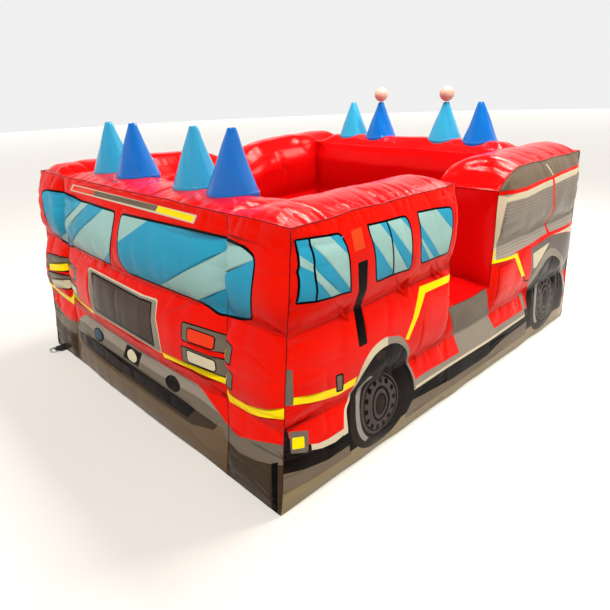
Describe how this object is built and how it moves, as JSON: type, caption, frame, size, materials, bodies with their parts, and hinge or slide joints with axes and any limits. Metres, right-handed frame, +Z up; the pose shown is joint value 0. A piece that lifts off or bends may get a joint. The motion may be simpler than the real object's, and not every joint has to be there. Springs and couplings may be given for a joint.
{
  "type": "inflatable play pen",
  "caption": "Inflatable fire-engine play pen with hollow walls, a low entry step, air-jet cones with floating balls, and a blower on a sleeve.",
  "frame": {"origin": "on the ground under the middle of the play area", "axes": "+Z up, +X across the pen towards the wall with the entry gap, -Y towards the windscreen end, +Y towards the blower"},
  "size_m": [2.2554, 3.2137, 1.4141],
  "materials": {
    "printed_vinyl": "glossy coated fabric with printed fire-engine artwork",
    "red_vinyl": "glossy red coated fabric",
    "baffle_fabric": "coated fabric web",
    "cone_fabric_light": "light blue coated fabric",
    "cone_fabric_dark": "dark blue coated fabric",
    "ball_plastic": "light translucent plastic",
    "webbing": "black woven webbing",
    "steel": "zinc plated",
    "housing_plastic": "black moulded plastic, fine texture",
    "cast_aluminium": "satin",
    "foot_rubber": "matte",
    "zip_plastic": "moulded coil zip",
    "switch_red": "glossy"
  },
  "bodies": {
    "pen": {"blower_foot_1": "foot_rubber", "blower_foot_2": "foot_rubber", "blower_foot_3": "foot_rubber", "blower_foot_4": "foot_rubber", "blower_housing_left": "housing_plastic", "blower_housing_right": "housing_plastic", "blower_outlet": "housing_plastic", "blower_stand": "cast_aluminium", "cable_gland": "foot_rubber", "carry_handle": "housing_plastic", "cinch_buckle": "steel", "cinch_strap": "webbing", "entrance_step": "printed_vinyl", "floor_sheet": "red_vinyl", "front_anchor_tab": "webbing", "front_jet_cone_1": "cone_fabric_light", "front_jet_cone_2": "cone_fabric_dark", "front_jet_cone_3": "cone_fabric_light", "front_jet_cone_4": "cone_fabric_dark", "front_wall": "printed_vinyl", "front_wall_lower_baffle": "baffle_fabric", "front_wall_upper_baffle": "baffle_fabric", "inflation_sleeve": "red_vinyl", "inlet_grille_free_side": "housing_plastic", "inlet_grille_motor_side": "housing_plastic", "left_anchor_tab": "webbing", "left_wall": "printed_vinyl", "left_wall_lower_baffle": "baffle_fabric", "left_wall_upper_baffle": "baffle_fabric", "motor": "cast_aluminium", "rear_jet_cone_1": "cone_fabric_light", "rear_jet_cone_2": "cone_fabric_dark", "rear_jet_cone_3": "cone_fabric_light", "rear_jet_cone_4": "cone_fabric_dark", "rear_left_anchor_tab": "webbing", "rear_right_anchor_tab": "webbing", "rear_wall": "printed_vinyl", "rear_wall_lower_baffle": "baffle_fabric", "rear_wall_upper_baffle": "baffle_fabric", "right_wall_cab": "printed_vinyl", "right_wall_cab_lower_baffle": "baffle_fabric", "right_wall_cab_upper_baffle": "baffle_fabric", "right_wall_rear": "printed_vinyl", "right_wall_rear_lower_baffle": "baffle_fabric", "right_wall_rear_upper_baffle": "baffle_fabric", "switch_box": "housing_plastic", "zip_flap_hem": "red_vinyl", "zip_tape": "zip_plastic"},
    "float_ball_1": {"float_ball_1": "ball_plastic"},
    "float_ball_2": {"float_ball_2": "ball_plastic"},
    "front_anchor_ring": {"front_anchor_ring": "steel"},
    "rear_right_anchor_ring": {"rear_right_anchor_ring": "steel"},
    "rear_left_anchor_ring": {"rear_left_anchor_ring": "steel"},
    "left_anchor_ring": {"left_anchor_ring": "steel"},
    "rotor": {"impeller": "housing_plastic", "motor_shaft": "steel"},
    "switch_rocker": {"switch_rocker": "switch_red"},
    "zip_slider": {"zip_slider": "steel"},
    "zip_flap": {"zip_flap": "red_vinyl"}
  },
  "joints": [
    {"name": "float_ball_1_lift", "type": "slide", "parent": "pen", "child": "float_ball_1", "axis": [0, 0, 1], "range_m": [-0.0055, 0.3]},
    {"name": "float_ball_2_lift", "type": "slide", "parent": "pen", "child": "float_ball_2", "axis": [0, 0, 1], "range_m": [-0.0055, 0.3]},
    {"name": "front_ring_swing", "type": "hinge", "parent": "pen", "child": "front_anchor_ring", "pos_m": [-0.97, -1.2788, 0.0052], "axis": [-1, 0, 0], "range_deg": [0, 150]},
    {"name": "rear_right_ring_swing", "type": "hinge", "parent": "pen", "child": "rear_right_anchor_ring", "pos_m": [0.97, 1.2678, 0.0052], "axis": [1, 0, 0], "range_deg": [0, 150]},
    {"name": "rear_left_ring_swing", "type": "hinge", "parent": "pen", "child": "rear_left_anchor_ring", "pos_m": [-0.97, 1.2678, 0.0052], "axis": [1, 0, 0], "range_deg": [0, 150]},
    {"name": "left_ring_swing", "type": "hinge", "parent": "pen", "child": "left_anchor_ring", "pos_m": [-1.1158, -1.039, 0.0052], "axis": [0, 1, 0], "range_deg": [0, 150]},
    {"name": "rotor_spin", "type": "hinge", "parent": "pen", "child": "rotor", "pos_m": [-0.43, 1.69, 0.1943], "axis": [1, 0, 0], "continuous": true},
    {"name": "switch_rock", "type": "hinge", "parent": "pen", "child": "switch_rocker", "pos_m": [-0.43, 1.8643, 0.0763], "axis": [1, 0, 0], "range_deg": [-16, 0]},
    {"name": "zip_slide", "type": "slide", "parent": "pen", "child": "zip_slider", "axis": [-1, 0, 0], "range_m": [0, 0.38]},
    {"name": "zip_flap_lift", "type": "hinge", "parent": "pen", "child": "zip_flap", "pos_m": [0.4, 1.20662, 0.5565], "axis": [1, 0, 0], "range_deg": [0, 120]}
  ]
}
